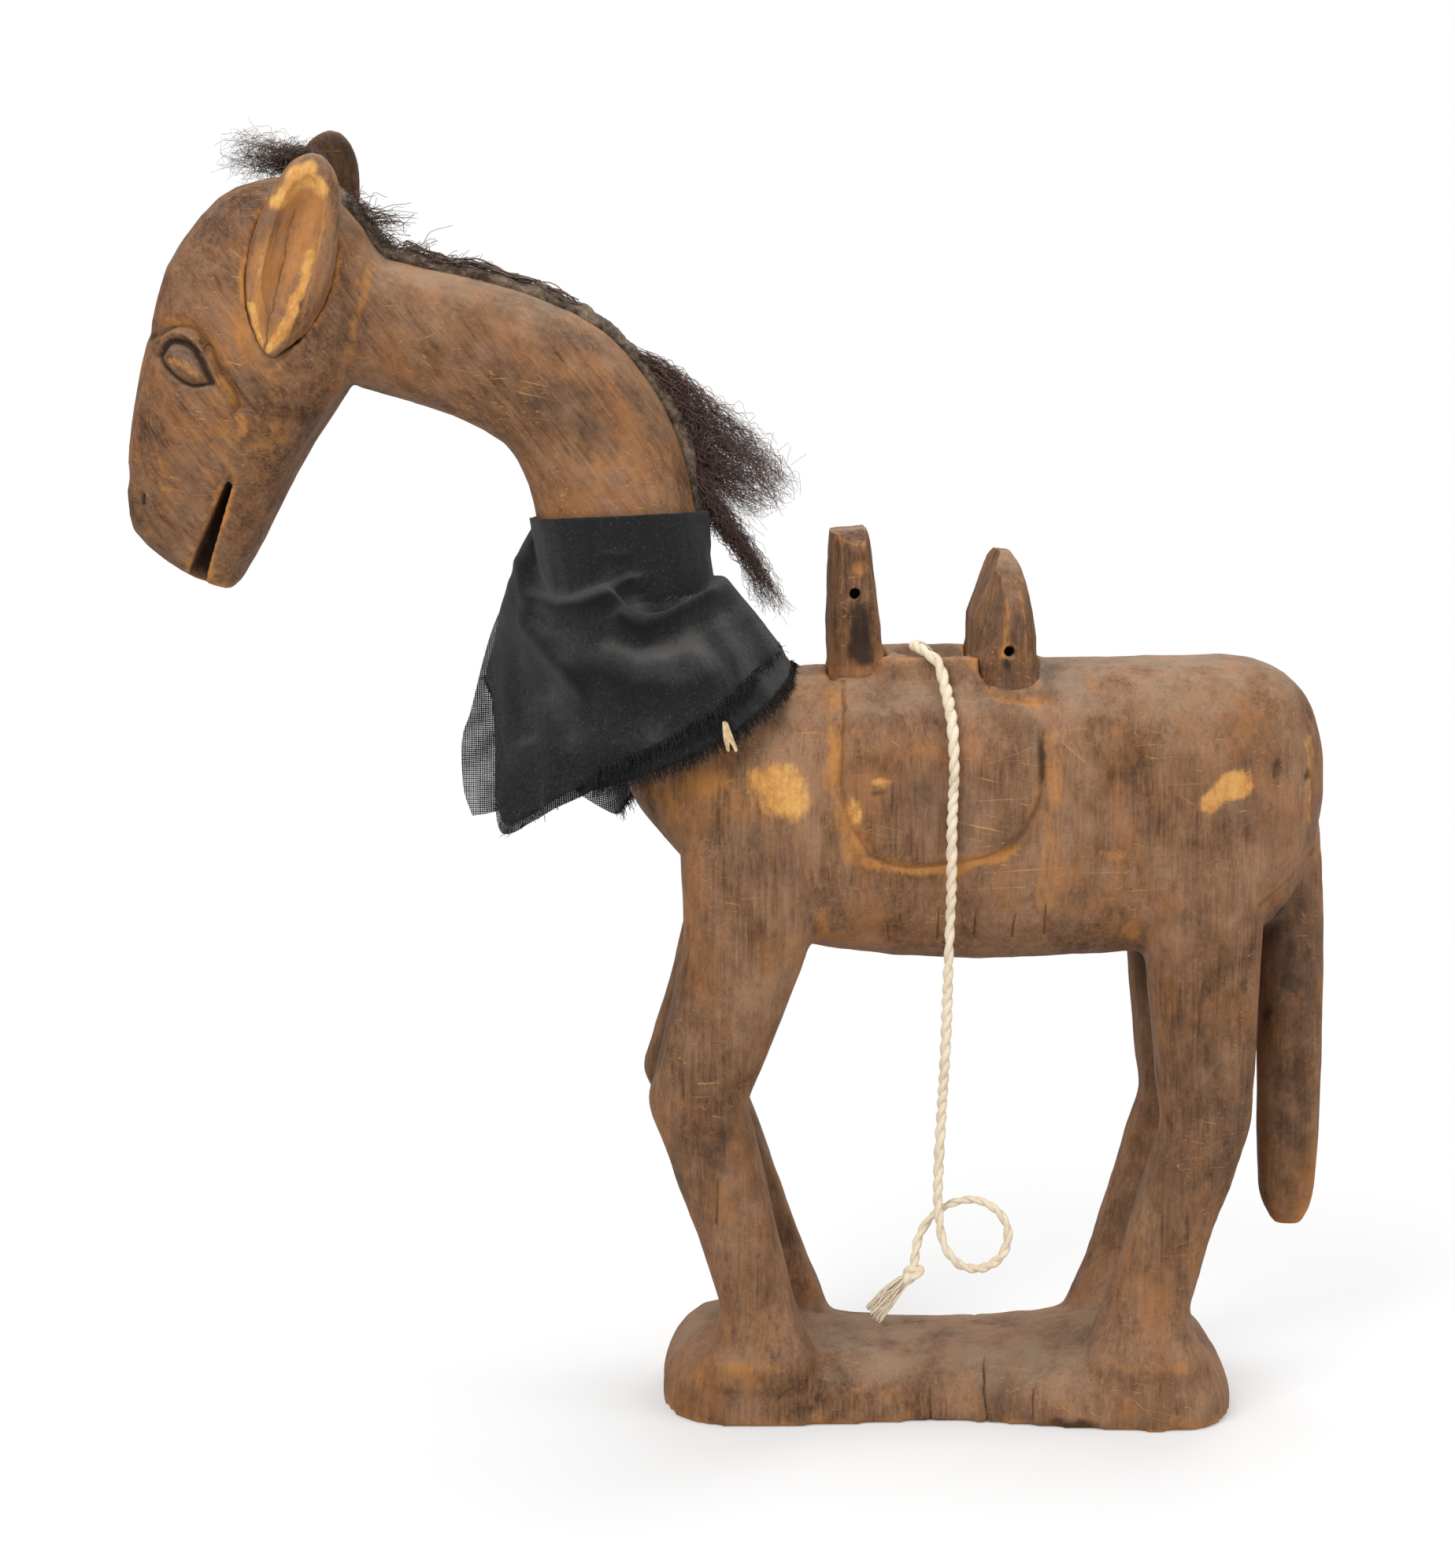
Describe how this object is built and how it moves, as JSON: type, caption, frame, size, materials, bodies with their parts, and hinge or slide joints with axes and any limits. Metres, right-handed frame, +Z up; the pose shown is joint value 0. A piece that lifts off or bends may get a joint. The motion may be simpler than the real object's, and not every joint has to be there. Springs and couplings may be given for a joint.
{
  "type": "carved horse statue",
  "caption": "Free-standing carved wooden horse with arched neck, saddle, hide mane, cloth scarf and a tie cord, on an integral plinth",
  "frame": {"origin": "middle of the plinth's underside, on the surface the statue stands on", "axes": "+Z up; the horse looks along -X and its tail is towards +X; its left side, the one with the cord, faces -Y"},
  "size_m": [0.5443, 0.1367, 0.5819],
  "materials": {
    "dark_wood": "dark stained, hand-carved, worn to orange on the edges, dusty and matt",
    "pale_wood": "bare split wood",
    "hide": "crinkled dry hide with sparse hair",
    "hair": "coarse dark brown frizzy hair",
    "scarf_cotton": "charcoal cotton gauze, dusty on its folds, with frayed edges",
    "cord_cotton": "cream twisted cotton"
  },
  "bodies": {
    "root": {"body": "dark_wood", "neck_and_head": "dark_wood", "ear_left": "dark_wood", "ear_right": "dark_wood", "pommel": "dark_wood", "cantle": "dark_wood", "neck_peg": "pale_wood", "scarf_pin": "pale_wood", "mane_strip": "hide", "forelock": "hair", "nape_tuft": "hair", "mane_lock": "hair", "mane_tail": "hair", "scarf": "scarf_cotton", "cord": "cord_cotton", "cord_knot": "cord_cotton", "cord_tassel": "cord_cotton"}
  },
  "joints": []
}
